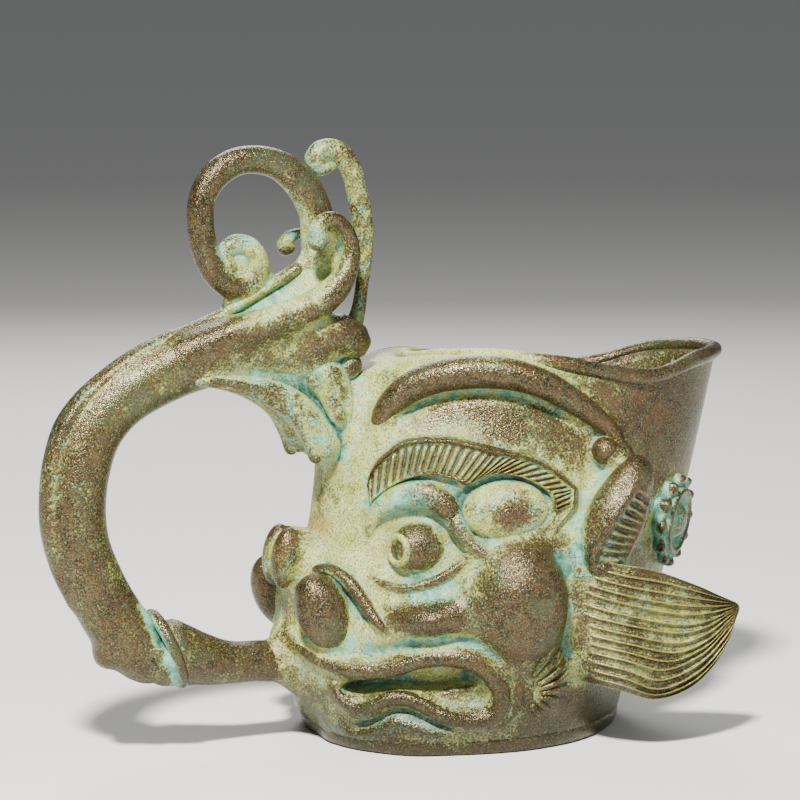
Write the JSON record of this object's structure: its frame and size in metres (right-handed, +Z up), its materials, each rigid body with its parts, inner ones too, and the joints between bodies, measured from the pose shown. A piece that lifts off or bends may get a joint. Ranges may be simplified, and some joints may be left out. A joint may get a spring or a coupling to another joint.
{
  "type": "animal head goblet",
  "caption": "Cast bronze drinking cup shaped as a snarling horned beast's head, open at the top, with a big loop handle growing from its tongue to a scrolled crest.",
  "frame": {"origin": "on the table under the middle of the goblet's bounding box, on the plane of symmetry of the head", "axes": "+Z up, -X the way the beast looks and the side of the handle, +X the pouring lip, -Y the beast's left side"},
  "size_m": [0.1679, 0.0912, 0.137],
  "materials": {
    "worn_bronze": "brown bronze rubbed smooth on the high places, granular, with rust-orange and teal specks",
    "green_patina": "matt yellow-green to cream patina with brown wear and turquoise in the creases",
    "verdigris": "pale turquoise-green verdigris, dry and slightly rough"
  },
  "bodies": {
    "root": {"foot_plate": "worn_bronze", "cup_body": "green_patina", "mouth_rim": "worn_bronze", "tongue": "worn_bronze", "handle": "worn_bronze", "handle_neck": "green_patina", "handle_spine": "verdigris", "crest_lobe_left": "worn_bronze", "crest_lobe_right": "worn_bronze", "crest_leaf_left": "worn_bronze", "crest_leaf_right": "worn_bronze", "ring_scroll": "worn_bronze", "tendril_scroll": "worn_bronze", "handle_bud_left": "verdigris", "handle_bud_right": "verdigris", "nose_lobe": "green_patina", "nostril_left": "worn_bronze", "nostril_right": "worn_bronze", "nostril_curl_left": "worn_bronze", "nostril_curl_right": "worn_bronze", "eye_left": "worn_bronze", "eye_right": "worn_bronze", "pupil_ring_left": "green_patina", "pupil_ring_right": "green_patina", "upper_lid_left": "green_patina", "upper_lid_right": "green_patina", "lower_lid_left": "green_patina", "lower_lid_right": "green_patina", "temple_boss_left": "green_patina", "temple_boss_right": "green_patina", "brow_left": "worn_bronze", "brow_right": "worn_bronze", "horn_left": "worn_bronze", "horn_right": "worn_bronze", "lips_left": "worn_bronze", "lips_right": "worn_bronze", "whiskers_left": "green_patina", "whiskers_right": "green_patina", "ear_left": "worn_bronze", "ear_right": "worn_bronze", "mane_left": "green_patina", "mane_right": "green_patina", "rosette_left": "verdigris", "rosette_right": "verdigris", "back_beads": "verdigris"}
  },
  "joints": []
}
